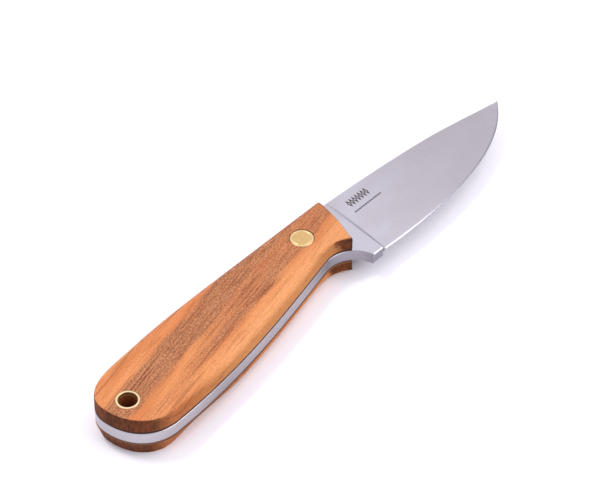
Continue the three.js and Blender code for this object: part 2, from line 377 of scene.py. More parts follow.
class Tree:
    """A short way to write a material's nodes."""

    def __init__(self, name):
        self.material = bpy.data.materials.new(name)
        self.material.use_nodes = True
        self.nodes = self.material.node_tree.nodes
        self.links = self.material.node_tree.links
        self.nodes.clear()
        output = self.nodes.new("ShaderNodeOutputMaterial")
        self.shader = self.nodes.new("ShaderNodeBsdfPrincipled")
        self.links.new(self.shader.outputs[0], output.inputs["Surface"])

    def put(self, socket, value):
        """Links a value to a socket, or sets the socket's own number or colour."""
        if isinstance(value, Value):
            self.links.new(value.socket, socket)
        elif socket.type == "RGBA":
            socket.default_value = (*value, 1)
        else:
            socket.default_value = value

    def math(self, operation, a, b=0.0):
        node = self.nodes.new("ShaderNodeMath")
        node.operation = operation
        self.put(node.inputs[0], a)
        self.put(node.inputs[1], b)
        return Value(self, node.outputs[0])

    def largest(self, first, *others):
        for other in others:
            first = self.math("MAXIMUM", first, other)
        return first

    def split(self, socket):
        node = self.nodes.new("ShaderNodeSeparateXYZ")
        self.links.new(socket, node.inputs[0])
        return [Value(self, output) for output in node.outputs]

    def axes(self):
        """Profile coordinates in millimetres."""
        shift = self.nodes.new("ShaderNodeVectorMath")
        shift.operation = "SUBTRACT"
        self.links.new(self.nodes.new("ShaderNodeTexCoord").outputs["Object"], shift.inputs[0])
        shift.inputs[1].default_value = ORIGIN
        grow = self.nodes.new("ShaderNodeVectorMath")
        grow.operation = "SCALE"
        self.links.new(shift.outputs[0], grow.inputs[0])
        grow.inputs["Scale"].default_value = 1 / MM
        return self.split(grow.outputs[0])

    def normal_axes(self):
        return self.split(self.nodes.new("ShaderNodeNewGeometry").outputs["Normal"])

    def vector(self, x, y, z):
        node = self.nodes.new("ShaderNodeCombineXYZ")
        for socket, value in zip(node.inputs, (x, y, z)):
            self.put(socket, value)
        return Value(self, node.outputs[0])

    def noise(self, axes, per_mm, offset=0.0, detail=2.0, roughness=0.5):
        """Noise with its own number of cells per millimetre along each of three axes."""
        x, y, z = (axis * cells for axis, cells in zip(axes, per_mm))
        node = self.nodes.new("ShaderNodeTexNoise")
        self.put(node.inputs["Vector"], self.vector(x, y, z + offset))
        node.inputs["Scale"].default_value = 1
        node.inputs["Detail"].default_value = detail
        node.inputs["Roughness"].default_value = roughness
        return Value(self, node.outputs["Fac"])

    def mix(self, factor, a, b, blend="MIX"):
        node = self.nodes.new("ShaderNodeMix")
        node.data_type = "RGBA"
        node.blend_type = blend
        for i, value in ((MIX_FACTOR, factor), (MIX_A, a), (MIX_B, b)):
            self.put(node.inputs[i], value)
        return Value(self, node.outputs[MIX_RESULT])

    def bump(self, height, distance, strength):
        """Bump of the surface by a height, where 1 stands for a distance in millimetres."""
        node = self.nodes.new("ShaderNodeBump")
        node.inputs["Strength"].default_value = strength
        node.inputs["Distance"].default_value = distance * MM
        self.put(node.inputs["Height"], height)
        self.links.new(node.outputs[0], self.shader.inputs["Normal"])

    def set(self, **values):
        """Sets inputs of the shader; an underscore in a name stands for a space."""
        for name, value in values.items():
            self.put(self.shader.inputs[name.replace("_", " ")], value)


# ------------ wood

WOOD_LIGHT = srgb(208, 136, 84)
WOOD_TAN = srgb(194, 117, 68)
# pale wood, partly a painted highlight along the belly rounding
WOOD_PALE_HIGHLIGHT = srgb(219, 152, 98)
WOOD_BROWN = srgb(134, 85, 56)
WOOD_PINK = srgb(178, 122, 87)
WOOD_LINE = srgb(122, 68, 40)
WOOD_RED = srgb(146, 70, 34)
WOOD_PORE = srgb(84, 48, 30)
WOOD_END = srgb(52, 24, 11)             # end grain,
WOOD_END_LIGHT = srgb(124, 66, 33)      # its lighter rays,
WOOD_GROOVE_SHADE_PATCH = srgb(108, 52, 20)           # and lighter patches of painted shade at the end of the finger groove
WOOD_PAINTED_SIDE_SHADE = srgb(78, 34, 14)            # painted shade; the upright sides take a little of this
# painted shade tint multiplied onto the upright sides
WOOD_SIDE_SHADE_TINT = (1.0, 0.96, 0.82)

GRAIN_TILT = math.radians(12)           # the grain climbs towards the spine by this much
DEPTH_CELLS = 0.8                       # noise cells into the wood, for one across it
# Noise cells per millimetre along and across the grain; offsets keep the patterns apart.
WOOD_NOISE = dict(
    wander=dict(along=0.035, across=0.06, offset=0, detail=1),
    ripple=dict(along=0.10, across=0.5, offset=7, detail=3),
    cloud=dict(along=0.03, across=0.22, offset=3, detail=3),
    streak=dict(along=0.05, across=1.1, offset=11, detail=4, roughness=0.62),
    line=dict(along=0.07, across=2.6, offset=15, detail=3, roughness=0.6),
    fibre=dict(along=0.25, across=5.0, offset=19, detail=3, roughness=0.7),
    fleck=dict(along=1.7, across=3.0, offset=29, detail=2, roughness=0.75),
    pore=dict(along=0.5, across=5.5, offset=37, detail=1),
)

# Brown bands: where each fades in and out, in millimetres across the grain.
UPPER_BAND = (-20.4, -18.4, -13.2, -11.4)
MIDDLE_BAND = (-24.5, -22, -19, -17)
LOWER_BAND = (-27.0, -25.2, -23.4, -21.6)
LOWER_AMOUNT = 0.9
PALE_HIGHLIGHT_ACROSS = (-25.6, -30.5)          # pale wood below the bands, partly a painted highlight on the belly rounding
MIDDLE_ALONG = (24, 52, 0.0, 0.7)
LOWER_ALONG = (18, 44, 0.25, 1.0)
PALE_HIGHLIGHT_ALONG = (14, 40)
BAND_WANDER = 3.0                       # millimetres that wide waves move a band,
BAND_RIPPLE = 2.4                       # that short waves do,
BAND_SLANT = 0.35                       # and that it moves for each millimetre of depth

CLOUD_RANGE = (0.32, 0.68)
PALE_HIGHLIGHT_AMOUNT = 0.85
PINK_RANGE = (0.34, 0.66)
BAND_LINES = (0.35, 0.65, 1.0, 0.6)     # fine lines that break up a band
STREAK_RANGE = (0.53, 0.66)
LINE_RANGE = (0.55, 0.66)
LINE_AMOUNT, LINE_IN_BAND = 0.45, 0.5
LINE_LOSS_IN_PALE_HIGHLIGHT = 0.6
GRAIN_OUT_OF_BAND, GRAIN_STRENGTH = 0.35, 0.9
FIBRE_SHADE, FLECK_SHADE = 0.7, 2.7
RED_ALONG = (66, 90, 0.0, 0.16)         # the wood reddens towards the blade
PORE_RANGE = (0.60, 0.70)
PORE_AMOUNT, PORE_IN_BAND = 0.15, 0.5

END_RANGE = (0.22, 0.80)                # of how squarely a surface cuts the grain
SIDE_RANGE = (0.90, 0.45)               # of how nearly it lies parallel to the face
END_AMOUNT = 0.95
RAYS = dict(per_mm=(1.5, 0.25, 0.35), detail=4, roughness=0.65)
RAY_RANGE = (0.32, 0.68)
GROOVE_SHADE_ALONG = (82.2, 84.4)               # painted shade at the end of the finger groove,
GROOVE_SHADE_HEIGHT = (-14.5, -15.5)            # below this height,
GROOVE_SHADE_UPPER = (2.4, 6.0, -2.9, 0.0)      # further forward low on the upper scale
GROOVE_SHADE_LOWER = (-1, 1, 4.5, 0.0)          # and further back on the lower one
GROOVE_SHADE_RAGGED = 5.0                       # how far the streaks move where it starts
GROOVE_SHADE_PATCHES = dict(per_mm=(0.55, 0.9, 0.45), detail=3)
GROOVE_SHADE_RANGE = (0.42, 0.62)
GROOVE_SHADE_BY_SIDE = (1, -1, 1.0, 0.5)
SIDE_SHADE_STEP = (-1.5, -2.2)                # from the upper scale to the lower one
SIDE_SHADE_UPPER = 0.34                       # amounts of painted side shade on their sides
SIDE_SHADE_LOWER = (20, 50, 0.26, 0.06)

WOOD_ROUGH = dict(base=0.40, fibre=0.16, pores=0.2, sides=0.25)
WOOD_RELIEF = dict(fibre=0.5, streak=0.8)
WOOD_BUMP = dict(distance=0.03, strength=0.5)
WOOD_GLOSS = dict(IOR=1.45, Specular_IOR_Level=0.2)


class Grain:
    """Places along, across and into the wood, and the noises that are drawn out along it."""

    def __init__(self, tree, seed):
        self.tree = tree
        self.seed = seed
        self.x, self.y, self.z = tree.axes()
        self.cos, self.sin = math.cos(GRAIN_TILT), math.sin(GRAIN_TILT)
        self.along = self.x * self.cos + self.y * self.sin
        self.across = self.y * self.cos - self.x * self.sin
        self.depth = FACE - abs(self.z)

    def noise(self, along, across, offset, **settings):
        places = (self.along, self.across, self.depth)
        per_mm = (along, across, across * DEPTH_CELLS)
        return self.tree.noise(places, per_mm, self.seed + offset, **settings)


def wood_bands(t, grain, noise, shift):
    """How much a place belongs to a brown band, and to the pale wood and painted highlight below them.
    """
    v = grain.across + (noise["wander"] - NOISE_MIDDLE) * BAND_WANDER
    v = v + (noise["ripple"] - NOISE_MIDDLE) * BAND_RIPPLE
    v = v + grain.depth * BAND_SLANT + shift
    upper, middle, lower = (
        v.remap(start, full) * v.remap(end, fading)
        for start, full, fading, end in (UPPER_BAND, MIDDLE_BAND, LOWER_BAND)
    )
    lower = lower * grain.x.remap(*LOWER_ALONG)
    middle = middle * grain.x.remap(*MIDDLE_ALONG)
    band = t.largest(upper, lower * LOWER_AMOUNT, middle)
    return band, v.remap(*PALE_HIGHLIGHT_ACROSS) * grain.x.remap(*PALE_HIGHLIGHT_ALONG)


def long_grain(t, grain, noise, band, pale_highlight, pores):
    """Colour of the wood where it is cut along the grain."""
    streak, line = noise["streak"], noise["line"]
    tan = t.mix(noise["cloud"].remap(*CLOUD_RANGE), WOOD_TAN, WOOD_LIGHT)
    # pale wood, partly a painted highlight on the belly rounding
    tan = t.mix(pale_highlight * PALE_HIGHLIGHT_AMOUNT, tan, WOOD_PALE_HIGHLIGHT)
    brown = t.mix(streak.remap(*PINK_RANGE), WOOD_BROWN, WOOD_PINK)
    colour = t.mix(band * line.remap(*BAND_LINES), tan, brown)
    strength = (band * LINE_IN_BAND + LINE_AMOUNT) * (1.0 - pale_highlight * LINE_LOSS_IN_PALE_HIGHLIGHT)
    colour = t.mix(streak.remap(*STREAK_RANGE) * strength, colour, WOOD_LINE)
    colour = t.mix(line.remap(*LINE_RANGE) * strength, colour, WOOD_RED)
    grainy = (band + GRAIN_OUT_OF_BAND) * GRAIN_STRENGTH
    fibres = (noise["fibre"] - NOISE_MIDDLE) * (grainy * FIBRE_SHADE)
    shade = 1.0 + (fibres + (noise["fleck"] - NOISE_MIDDLE) * (grainy * FLECK_SHADE))
    colour = t.mix(1.0, colour, t.vector(shade, shade, shade), "MULTIPLY")
    colour = t.mix(grain.x.remap(*RED_ALONG), colour, WOOD_RED)
    return t.mix(pores, colour, WOOD_PORE)


def groove_end_shade(grain, streak):
    """How much painted shade a place takes at the end of the finger groove."""
    shade_x = grain.x + grain.z.remap(*GROOVE_SHADE_UPPER, smooth=False)
    shade_x = shade_x + grain.z.remap(*GROOVE_SHADE_LOWER)
    shade_x = shade_x + (streak - NOISE_MIDDLE) * GROOVE_SHADE_RAGGED
    return shade_x.remap(*GROOVE_SHADE_ALONG) * grain.y.remap(*GROOVE_SHADE_HEIGHT)


def end_grain(t, grain, groove_shade):
    """Colour of the wood cut across the grain, which drinks more oil there; patchy painted shade at
    the groove's end.
    """
    rays = t.noise((grain.across, grain.along, grain.z), **RAYS)
    colour = t.mix(rays.remap(*RAY_RANGE), WOOD_END, WOOD_END_LIGHT)
    patch = t.noise((grain.x, grain.y, grain.z), offset=grain.seed, **GROOVE_SHADE_PATCHES)
    patchy_shade = t.mix(patch.remap(*GROOVE_SHADE_RANGE), WOOD_END, WOOD_GROOVE_SHADE_PATCH)
    return t.mix(groove_shade * grain.z.remap(*GROOVE_SHADE_BY_SIDE), colour, patchy_shade)


def oiled_wood(name, shift, seed):
    """Streaky oiled wood: dark bands along the tilted grain, pores, darker end grain, and painted
    shade and highlight.
    """
    t = Tree(name)
    grain = Grain(t, seed)
    noise = {kind: grain.noise(**settings) for kind, settings in WOOD_NOISE.items()}
    band, pale_highlight = wood_bands(t, grain, noise, shift)
    pore = noise["pore"].remap(*PORE_RANGE)
    pores = pore * (band * PORE_IN_BAND + PORE_AMOUNT)
    colour = long_grain(t, grain, noise, band, pale_highlight, pores)

    nx, ny, nz = t.normal_axes()
    side = abs(nz).remap(*SIDE_RANGE)
    groove_shade = groove_end_shade(grain, noise["streak"])
    end = abs(nx * grain.cos + ny * grain.sin).remap(*END_RANGE)
    # the groove's end takes the dark end-grain colour as painted shade
    end = t.largest(end, groove_shade * side)
    colour = t.mix(end * END_AMOUNT, colour, end_grain(t, grain, groove_shade))
    # painted shade on the upright sides, stronger on the upper scale
    wall = grain.z.remap(*SIDE_SHADE_STEP, SIDE_SHADE_UPPER, grain.x.remap(*SIDE_SHADE_LOWER))
    colour = t.mix(side * wall, colour, WOOD_PAINTED_SIDE_SHADE)
    # painted shade tint on the upright sides
    colour = t.mix(side, colour, WOOD_SIDE_SHADE_TINT, "MULTIPLY")

    rough = WOOD_ROUGH["base"] + noise["fibre"] * WOOD_ROUGH["fibre"] + pores * WOOD_ROUGH["pores"]
    rough = rough + t.largest(end, side) * WOOD_ROUGH["sides"]
    t.set(Base_Color=colour, Roughness=rough, **WOOD_GLOSS)
    relief = noise["fibre"] * WOOD_RELIEF["fibre"] - pore
    t.bump(relief + noise["streak"] * WOOD_RELIEF["streak"], **WOOD_BUMP)
    return t.material


# ------------ steel finish

# painted reflection on the flats and the tang's edge
STEEL_PAINTED_SHEEN = (0.71, 0.68, 0.735)
STEEL_LIGHT = (0.56, 0.53, 0.56)
STEEL_DARK = (0.465, 0.44, 0.47)
STEEL_WARM = (0.51, 0.455, 0.475)
# painted shade for the plunge hollow, the honed bevel and the tang's edge
STEEL_PAINTED_SHADE = (0.24, 0.225, 0.26)
# painted glint
STEEL_PAINTED_GLINT = (0.97, 0.95, 0.98)
STEEL_ETCH = (0.045, 0.035, 0.035)

GRIND = dict(per_mm=(11, 0.25, 1), detail=3, roughness=0.7)           # up the flats,
BRUSHED = dict(per_mm=(0.12, 0.12, 7), detail=3, roughness=0.7)       # along the edges,
CLOUD = dict(per_mm=(0.06, 0.1, 1))                                   # and slow changes of tone
FLAT_RANGE = (0.6, 0.9)                 # of how nearly a surface lies parallel to the flats
SCRATCH_RANGE = (0.1, 0.9)
WARM_RANGE, WARM_AMOUNT = (0.35, 0.65), 0.3
FLAT_SHEEN_ALONG = (88, 140, 0.85, 0.05)    # painted reflection: the flats are brightest beside the scales
CORNER_FACING = (0.015, 0.12)           # painted shade in the hollow of the plunge line, which faces forward,
CORNER_NOT_FACING = (0.9, 0.5)          # but not squarely
CORNER_ALONG = (99.5, 98.5)
CORNER_HEIGHT = (-6, -18, 0.45, 1.0)
PLUNGE_SHADE_AMOUNT = 0.75
HONED_FACING = (-0.3, -0.38)            # painted shade on the honed bevel,
HONED_FLAT = (0.82, 0.88)
HONED_ALONG = (98, 126, 0.1, 0.7)       # which darkens towards the tip
RIM_SHEEN_ALONG = (25, 50, 0.0, 0.25)  # painted reflection on the tang's edge: brighter from the butt on,
RIM_SHADE_GROOVE = (64, 88, 0.0, 0.76)   # painted shade in the finger groove,
RIM_SHADE_HEEL = (90.8, 91.4, 0.0, 0.2)  # under the heel
RIM_SHADE_BUTT = (30, 12, 0.0, 0.16)     # and round the butt
GLINT_FACING = (-0.45, -0.6)            # painted glint on the chamfer under the ricasso
GLINT_FLAT = (0.45, 0.6)
GLINT_ALONG = (90.6, 91.2)
GLINT_AMOUNT = 0.35
STEEL_ROUGH = dict(base=0.24, scratch=0.10, etch=0.25)
ETCH_DEPTH = 0.8                        # where the scratches have 1
ETCH_METAL_LOSS = 0.6
STEEL_BUMP = dict(distance=0.012, strength=0.5)

ETCH_ROW = dict(start=101.6, end=109.79, y=-4.7, half=1.65, pitch=1.17)
ETCH_RULE = dict(start=100.8, end=111.7, y=-8.0, half=0.25, pitch=0.84)
LOZENGE_OUTSIDE = (0.50, 0.46)          # limits of a lozenge's line, in pitches
LOZENGE_INSIDE = (0.14, 0.20)
DOT_EDGE = (1.15, 0.85)                 # limits of a dot, in half heights
DOT_STRETCH = 0.8
ETCH_FACING = 0.8                       # the mark is only on the right face


def etch_mask(t, x, y, nz):
    """A row of small lozenges over a dotted rule, on the right face of the blade."""
    def from_middle(row):
        return abs((x - row["start"]) % row["pitch"] - row["pitch"] / 2)

    def scaled(limits, unit):
        return [limit * unit for limit in limits]

    pitch = ETCH_ROW["pitch"]
    slope = pitch / 2 / ETCH_ROW["half"]
    reach = from_middle(ETCH_ROW) + abs(y - ETCH_ROW["y"]) * slope
    line = reach.remap(*scaled(LOZENGE_OUTSIDE, pitch)) * reach.remap(*scaled(LOZENGE_INSIDE, pitch))
    lozenges = line * x.between(ETCH_ROW["start"], ETCH_ROW["end"])
    reach = t.largest(from_middle(ETCH_RULE) * DOT_STRETCH, abs(y - ETCH_RULE["y"]))
    dots = reach.remap(*scaled(DOT_EDGE, ETCH_RULE["half"]))
    dots = dots * x.between(ETCH_RULE["start"], ETCH_RULE["end"])
    return t.largest(lozenges, dots) * nz.above(ETCH_FACING)


def plunge_hollow_shade(x, y, nx):
    """How much painted shade a place takes in the hollow of the plunge line."""
    facing = nx.remap(*CORNER_FACING) * nx.remap(*CORNER_NOT_FACING)
    return facing * x.remap(*CORNER_ALONG) * y.remap(*CORNER_HEIGHT)


def honed_bevel_shade(x, ny, nz):
    """How much painted shade dims a place on the honed bevel."""
    return ny.remap(*HONED_FACING) * abs(nz).remap(*HONED_FLAT) * x.remap(*HONED_ALONG)


def ricasso_glint(x, ny, nz):
    """How much painted glint a place on the chamfer under the ricasso takes."""
    return ny.remap(*GLINT_FACING) * abs(nz).remap(*GLINT_FLAT) * x.remap(*GLINT_ALONG)


def satin_steel():
    """Ground steel: fine scratches up the blade, lengthwise on the edges of the tang; painted
    reflection, shade and glint.
    """
    t = Tree("satin_steel")
    x, y, z = axes = t.axes()
    nx, ny, nz = t.normal_axes()
    flat = abs(nz).remap(*FLAT_RANGE)
    rim = 1.0 - flat
    grind, brushed, cloud = (t.noise(axes, **settings) for settings in (GRIND, BRUSHED, CLOUD))
    scratch = grind * flat + brushed * rim
    etch = etch_mask(t, x, y, nz)

    tone = t.mix(scratch.remap(*SCRATCH_RANGE), STEEL_DARK, STEEL_LIGHT)
    # painted reflection, brightest on the flats beside the scales
    tone = t.mix(flat * x.remap(*FLAT_SHEEN_ALONG), tone, STEEL_PAINTED_SHEEN)
    # painted shade in the plunge hollow
    tone = t.mix(plunge_hollow_shade(x, y, nx) * PLUNGE_SHADE_AMOUNT, tone, STEEL_PAINTED_SHADE)
    tone = t.mix(cloud.remap(*WARM_RANGE) * WARM_AMOUNT, tone, STEEL_WARM)
    # painted shade dimming the honed bevel's highlight
    tone = t.mix(honed_bevel_shade(x, ny, nz), tone, STEEL_PAINTED_SHADE)
    # painted reflection on the tang's edge
    tone = t.mix(rim * x.remap(*RIM_SHEEN_ALONG), tone, STEEL_PAINTED_SHEEN)
    # painted shade on the tang's edge in the groove, under the heel and round the butt
    rim_shade = x.remap(*RIM_SHADE_GROOVE) + x.remap(*RIM_SHADE_HEEL) + x.remap(*RIM_SHADE_BUTT)
    tone = t.mix(rim * rim_shade, tone, STEEL_PAINTED_SHADE)
    # painted glint on the ricasso chamfer
    tone = t.mix(ricasso_glint(x, ny, nz) * GLINT_AMOUNT, tone, STEEL_PAINTED_GLINT)
    colour = t.mix(etch, tone, STEEL_ETCH)

    rough = STEEL_ROUGH["base"] + scratch * STEEL_ROUGH["scratch"] + etch * STEEL_ROUGH["etch"]
    t.set(Base_Color=colour, Roughness=rough, Metallic=1.0 - etch * ETCH_METAL_LOSS)
    t.bump(scratch - etch * ETCH_DEPTH, **STEEL_BUMP)
    return t.material


# ------------ brass and fibre finish

BRASS_LIGHT = (0.82, 0.565, 0.245)
BRASS_WARM = (0.75, 0.485, 0.188)
# painted highlight on a turned rim
BRASS_PAINTED_HIGHLIGHT = (0.96, 0.76, 0.46)
BRASS_DULL = (0.55, 0.40, 0.20)
BRASS_TARNISH = (0.26, 0.05, 0.008)

TURNING = dict(per_mm=(9, 9, 1), offset=3.0)                          # by radius and height
RUBS = dict(per_mm=(0.7, 9, 1), offset=1.0, detail=3, roughness=0.7)  # across a face
PATINA = dict(per_mm=(0.6, 0.6, 0.6), detail=3)
PATINA_RANGE = (0.3, 0.7)
RUB_RANGE, RUB_AMOUNT = (0.45, 0.75), 0.35
HIGHLIGHT_BLUR = 0.1
TARNISH_DEPTH = (0.25, 1.6)
TARNISH_WALL = (0.25, 0.1)              # distances from the wall of the bore
TARNISH_AMOUNT = 0.92
BRASS_ROUGH = dict(base=0.26, rubs=0.16, inside=0.3)
TARNISH_METAL_LOSS = 0.6
RUB_RELIEF = 0.6
BRASS_BUMP = dict(distance=0.01, strength=0.4)

FIBRE_DARK = (0.028, 0.012, 0.007)
FIBRE_LIGHT = (0.075, 0.035, 0.02)
FIBRE_PAINTED_BOUNCE = (0.20, 0.095, 0.055)      # painted bounce light from the floor on the lower liner's edge
WEAVE = dict(per_mm=(3, 3, 15), detail=4, roughness=0.7)
BOUNCE_BY_SIDE = (1, -1, 0.0, 0.7)
FIBRE_ROUGH = dict(base=0.55, weave=0.3)
FIBRE_SPECULAR = 0.1
FIBRE_BUMP = dict(distance=0.02, strength=0.6)


def turned_brass(name, at, bore_radius, rim_radius, highlight_tone):
    """Brass with turning marks round its axis, a painted highlight on its rim, tarnished where light
    and hands do not reach.
    """
    t = Tree(name)
    x, y, z = t.axes()
    dx, dy = x - at["x"], y - at["y"]
    radius = t.math("SQRT", dx * dx + dy * dy)
    turning = t.noise((radius, z, 0), **TURNING)
    rubs = t.noise((dx, dy, 0), **RUBS)
    patina = t.noise((dx, dy, z), **PATINA)

    tone = t.mix(patina.remap(*PATINA_RANGE), BRASS_LIGHT, BRASS_WARM)
    tone = t.mix(rubs.remap(*RUB_RANGE) * RUB_AMOUNT, tone, BRASS_DULL)
    # painted highlight outside the rim radius
    tone = t.mix(radius.remap(rim_radius, rim_radius + HIGHLIGHT_BLUR, 0.0, highlight_tone), tone, BRASS_PAINTED_HIGHLIGHT)
    inside = (FACE - abs(z)).remap(*TARNISH_DEPTH)
    inside = inside * radius.remap(*[bore_radius + wall for wall in TARNISH_WALL])
    colour = t.mix(inside * TARNISH_AMOUNT, tone, BRASS_TARNISH)

    rough = BRASS_ROUGH["base"] + rubs * BRASS_ROUGH["rubs"] + inside * BRASS_ROUGH["inside"]
    t.set(Base_Color=colour, Roughness=rough, Metallic=1.0 - inside * TARNISH_METAL_LOSS)
    t.bump(turning + rubs * RUB_RELIEF, **BRASS_BUMP)
    return t.material


def dark_fibre():
    """Pressed dark sheet, of which only the edge shows."""
    t = Tree("dark_fibre")
    x, y, z = t.axes()
    weave = t.noise((x, y, z), **WEAVE)
    tone = t.mix(weave, FIBRE_DARK, FIBRE_LIGHT)
    # painted bounce light on the lower liner
    tone = t.mix(z.remap(*BOUNCE_BY_SIDE), tone, FIBRE_PAINTED_BOUNCE)
    rough = FIBRE_ROUGH["base"] + weave * FIBRE_ROUGH["weave"]
    t.set(Base_Color=tone, Roughness=rough, Specular_IOR_Level=FIBRE_SPECULAR)
    t.bump(weave, **FIBRE_BUMP)
    return t.material


# ------------ blade and tang

PLUNGE_SPAN = PLUNGE_RADIUS / (LENGTH - PLUNGE_EDGE_X)     # share of the blade in its hollow
BLADE_STATIONS = 90
PLUNGE_STATIONS = 14
BLADE_LEVELS = 16
TIP_CROWDING = 0.6                      # 0 spaces the stations evenly, 1 crowds the tip
OVERRUN = 1                             # closes the tang's loop past the plunge line
STEEL_SHARP = 10                        # degrees


def tang_line():
    """Open outline of the tang from the spine end of the plunge line round to its edge end."""
    groove = [
        on_groove(lerp(GROOVE_START, HEEL_ANGLE, i / CURVE_STEPS)) for i in range(CURVE_STEPS + 1)
    ]
    back = [(PLUNGE_SPINE_X, 0), (SPINE_START_X, 0)] + upper_back()[1:]
    curve = resample(back + belly_line()[1:] + groove[1:])
    heel = resample([groove[-1], (PLUNGE_EDGE_X, EDGE_Y)])
    return curve + heel[1:], len(curve) - 1


def blade_station(along):
    """Half section of the ground blade: (x, y, half thickness) from the edge to the spine."""
    climb = 1 - min(along / PLUNGE_SPAN, 1)
    rise = 1 - math.sqrt(max(1 - climb * climb, 0))
    edge = bezier([(PLUNGE_EDGE_X, EDGE_Y + EDGE_STEP), *EDGE_PULLS, TIP], along)
    low = (edge[0], edge[1] - EDGE_STEP * rise)
    high = bezier([(PLUNGE_SPINE_X, 0), SPINE_PULL, (TIP[0], TIP[1] + TIP_WIDTH)], along)
    width = max(math.dist(low, high), LEAST_WIDTH)
    back = lerp(TANG_TOP, TIP_HALF, smoothstep(along, TAPER_START, 1))
    bevel = min(lerp(EDGE_BEVEL, RICASSO_CHAMFER, rise), width * BEVEL_SHARE) / width
    ease = min(TANG_EASE, width * EASE_SHARE) / width
    shoulder = min(EDGE_SHOULDER, back * SHOULDER_SHARE)
    section = [(0, lerp(EDGE_FLAT, TANG_TOP - RICASSO_CHAMFER, rise))]
    for i in range(BLADE_LEVELS + 1):
        across = lerp(bevel, 1 - ease, i / BLADE_LEVELS)
        ground = lerp(shoulder, back, (across - bevel) / (1 - bevel))
        section.append((across, lerp(ground, TANG_TOP, rise)))
    section.append((1, section[-1][1] - ease * width))
    return [(*lerp2(low, high, across), half) for across, half in section]


def blade_stations():
    """Sections after the plunge line, close together in its hollow and towards the tip."""
    stations = []
    for i in range(1, PLUNGE_STATIONS + 1):
        turn = math.pi / 2 * i / PLUNGE_STATIONS
        stations.append(blade_station(PLUNGE_SPAN * (1 - math.cos(turn))))
    for i in range(1, BLADE_STATIONS + 1):
        even = i / BLADE_STATIONS
        crowded = math.sin(math.pi / 2 * even)
        stations.append(blade_station(lerp(PLUNGE_SPAN, 1, lerp(even, crowded, TIP_CROWDING))))
    return stations


def tang_edge(b, first):
    """Chamfered edge of the tang; gives its outer and inner rings by side."""
    outline, heel = tang_line()
    closing = outline + [(PLUNGE_EDGE_X + OVERRUN, EDGE_Y), (PLUNGE_SPINE_X + OVERRUN, 0)]
    normals = inward_normals(closing)[:len(outline)]
    chamfers = [RICASSO_CHAMFER if i > heel else TANG_EASE for i in range(len(outline))]
    outer, inner = {}, {}
    for side in (1, -1):
        outer[side] = b.ring([(x, y, side * (TANG_TOP - c)) for (x, y), c in zip(outline, chamfers)])
        inset = [
            (x + n[0] * c, y + n[1] * c, side * TANG_TOP)
            for (x, y), n, c in zip(outline, normals, chamfers)
        ]
        inset[0] = (*first[-2][:2], side * TANG_TOP)
        inset[-1] = (*first[1][:2], side * TANG_TOP)
        inner[side] = b.ring(inset)
        b.bridge(outer[side], inner[side], closed=False)
    b.bridge(outer[1], outer[-1], closed=False)
    return outer, inner


def build_steel(material):
    b = Builder()
    first = blade_station(0)
    outer, inner = tang_edge(b, first)
    plunge = {}
    for side in (1, -1):
        line = b.ring([(x, y, side * z) for x, y, z in first[2:-2]])
        plunge[side] = [outer[side][-1], inner[side][-1]] + line + [inner[side][0], outer[side][0]]

    # Sections run edge to spine on the right face and back on the left one.
    rings = [plunge[1] + plunge[-1][::-1]]
    for section in blade_stations():
        right = b.ring(section)
        left = b.ring([(x, y, -z) for x, y, z in section])
        rings.append(right + left[::-1])
    for near, far in zip(rings, rings[1:]):
        b.bridge(near, far)
    b.face(*rings[-1])

    holes = {side: [b.ring(circle(at, r, side * TANG_TOP)) for at, r in DRILLS] for side in (1, -1)}
    for side in (1, -1):
        b.fill(inner[side] + plunge[side][2:-2], holes[side], up=side > 0)
    for top, bottom in zip(holes[1], holes[-1]):
        b.bridge(top, bottom)
    return b.finish("blade_and_tang_steel", material, "blade_and_tang", STEEL_SHARP)


# ------------ scales and liners

WALL_LEVELS = 6                         # levels of the upright wall
RIM_LEVELS = 16                         # and of the rounding above it
ALL_LEVELS = WALL_LEVELS + RIM_LEVELS
GROOVE_COUNT = 26                       # columns round the finger groove
FACE_MARGIN = 0.35                      # first flat strip inside the rim
LINER_INSET = 0.05                      # how far the liners stand back


def rim_width(x, y, groove):
    if y > RIM_SIDES_Y:
        return lerp(RIM_CRISP, RIM_SPINE, smoothstep(x, *SPINE_GROW))
    belly = lerp(RIM_CRISP, RIM_BELLY, smoothstep(x, *BELLY_GROW))
    return lerp(belly, groove, smoothstep(x, *RIM_SHRINK))


def side_profile(x, y, level, hand):
    """Inset and height of the side: its wall, the rounding above, then a flat margin."""
    width = rim_width(x, y, hand["groove"])
    height = min(width, RIM_HEIGHT)
    lean = hand["lean"] * (1 - smoothstep(x, *LEAN_FADE))
    up = min(level / WALL_LEVELS, 1)
    angle = min(max(level - WALL_LEVELS, 0), RIM_LEVELS) / RIM_LEVELS * math.pi / 2
    margin = FACE_MARGIN if level > ALL_LEVELS else 0
    inset = lean * up + width * (1 - math.cos(angle)) + margin
    return inset, lerp(SCALE_BASE, FACE - height, up) + height * math.sin(angle)


def front_ease(height, along):
    """How far the front edge has rounded back at a height, from the groove (0) to the spine (1)."""
    radius = lerp(NOSE_EASE, FRONT_EASE, smoothstep(along, 0, NOSE_SHARE))
    above = max(height - (FACE - radius), 0)
    return radius - math.sqrt(max(radius * radius - above * above, 0))


